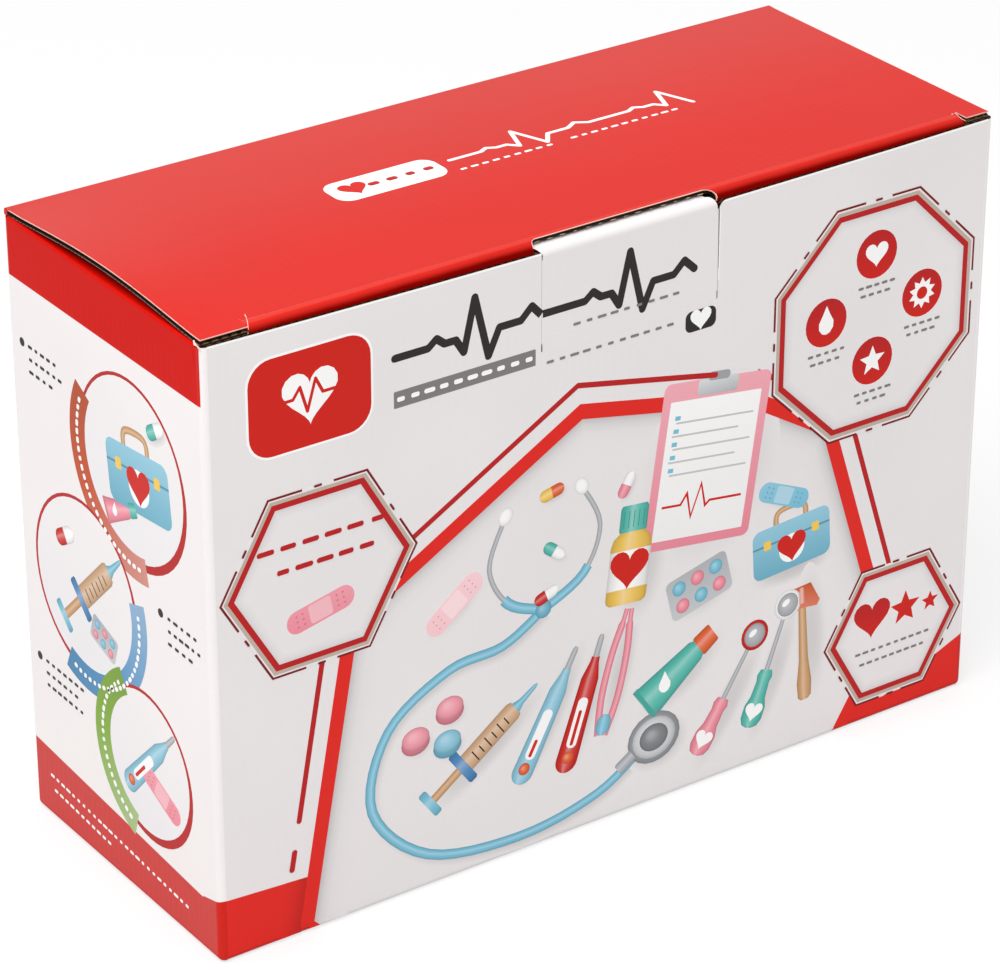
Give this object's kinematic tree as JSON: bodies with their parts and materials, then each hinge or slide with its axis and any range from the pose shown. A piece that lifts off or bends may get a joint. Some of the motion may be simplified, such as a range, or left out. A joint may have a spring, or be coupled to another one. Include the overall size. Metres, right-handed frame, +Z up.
{
  "type": "toy doctor case",
  "caption": "Printed tuck-top carton of fluted board for a toy doctor set, with a hinged lid, dust flaps and a front lock tongue.",
  "frame": {"origin": "centre of the carton's bottom face, on the surface it stands on", "axes": "+Z up, +X to the right along the long front, front panel facing -Y, lid crease at +Y"},
  "size_m": [0.3, 0.116, 0.2145],
  "materials": {
    "white_print": "gloss laminated print, white ground",
    "red_print": "gloss laminated print, red ground",
    "kraft_fluting": "raw fluting paper",
    "kraft_liner": "raw kraft paper",
    "white_board": "creased board, gloss white outside",
    "red_board": "creased board, gloss red outside",
    "kraft_board": "raw kraft board"
  },
  "bodies": {
    "carton": {"back_bottom_flap": "white_board", "back_left_corner_crease": "white_board", "back_panel_fluting": "kraft_fluting", "back_panel_liner": "kraft_liner", "back_panel_print_sheet": "white_print", "front_bottom_flap": "white_board", "front_left_corner_crease": "white_board", "front_panel_fluting_below_tongue": "kraft_fluting", "front_panel_fluting_left": "kraft_fluting", "front_panel_fluting_right": "kraft_fluting", "front_panel_liner": "kraft_liner", "front_panel_print_sheet": "white_print", "front_right_corner_crease": "white_board", "glue_flap": "kraft_board", "glue_flap_crease": "white_board", "left_bottom_flap": "white_board", "left_dust_crease": "red_board", "left_panel_fluting": "kraft_fluting", "left_panel_liner": "kraft_liner", "left_panel_print_sheet": "white_print", "lid_crease": "red_board", "right_bottom_flap": "white_board", "right_dust_crease": "red_board", "right_panel_fluting": "kraft_fluting", "right_panel_liner": "kraft_liner", "right_panel_print_sheet": "white_print", "tongue_foot_crease": "white_board"},
    "lid": {"lid_fluting_left": "kraft_fluting", "lid_fluting_middle": "kraft_fluting", "lid_fluting_right": "kraft_fluting", "lid_liner": "kraft_liner", "lid_print_sheet": "red_print", "left_tuck_crease": "red_board", "right_tuck_crease": "red_board"},
    "tuck_flap": {"tuck_flap_fluting": "kraft_fluting", "tuck_flap_liner": "kraft_liner", "tuck_flap_print_sheet": "red_print"},
    "left_dust_flap": {"left_dust_flap_fluting": "kraft_fluting", "left_dust_flap_liner": "kraft_liner", "left_dust_flap_print_sheet": "red_print"},
    "right_dust_flap": {"right_dust_flap_fluting": "kraft_fluting", "right_dust_flap_liner": "kraft_liner", "right_dust_flap_print_sheet": "red_print"},
    "lock_tongue": {"lock_tongue_fluting": "kraft_fluting", "lock_tongue_liner": "kraft_liner", "lock_tongue_print_sheet": "white_print", "lock_tongue_tip": "white_board"}
  },
  "joints": [
    {"name": "lid_hinge", "type": "hinge", "parent": "carton", "child": "lid", "pos_m": [0, 0.0571, 0.2136], "axis": [-1, 0, 0], "range_deg": [0, 180]},
    {"name": "tuck_fold", "type": "hinge", "parent": "lid", "child": "tuck_flap", "pos_m": [0, -0.05489, 0.2106], "axis": [1, 0, 0], "range_deg": [0, 60]},
    {"name": "left_dust_hinge", "type": "hinge", "parent": "carton", "child": "left_dust_flap", "pos_m": [-0.1491, 0, 0.2115], "axis": [0, -1, 0], "range_deg": [0, 90]},
    {"name": "right_dust_hinge", "type": "hinge", "parent": "carton", "child": "right_dust_flap", "pos_m": [0.1491, 0, 0.2115], "axis": [0, 1, 0], "range_deg": [0, 90]},
    {"name": "tongue_flex", "type": "hinge", "parent": "carton", "child": "lock_tongue", "pos_m": [0.0045, -0.0571, 0.1795], "axis": [1, 0, 0], "range_deg": [0, 25], "stiffness_Nm_per_rad": 0.01, "deforming": ["lock_tongue_tip"]}
  ],
  "couplings": [
    {"joint": "left_dust_hinge", "follows": "lid_hinge", "ratio": 0.5},
    {"joint": "right_dust_hinge", "follows": "lid_hinge", "ratio": 0.5}
  ]
}
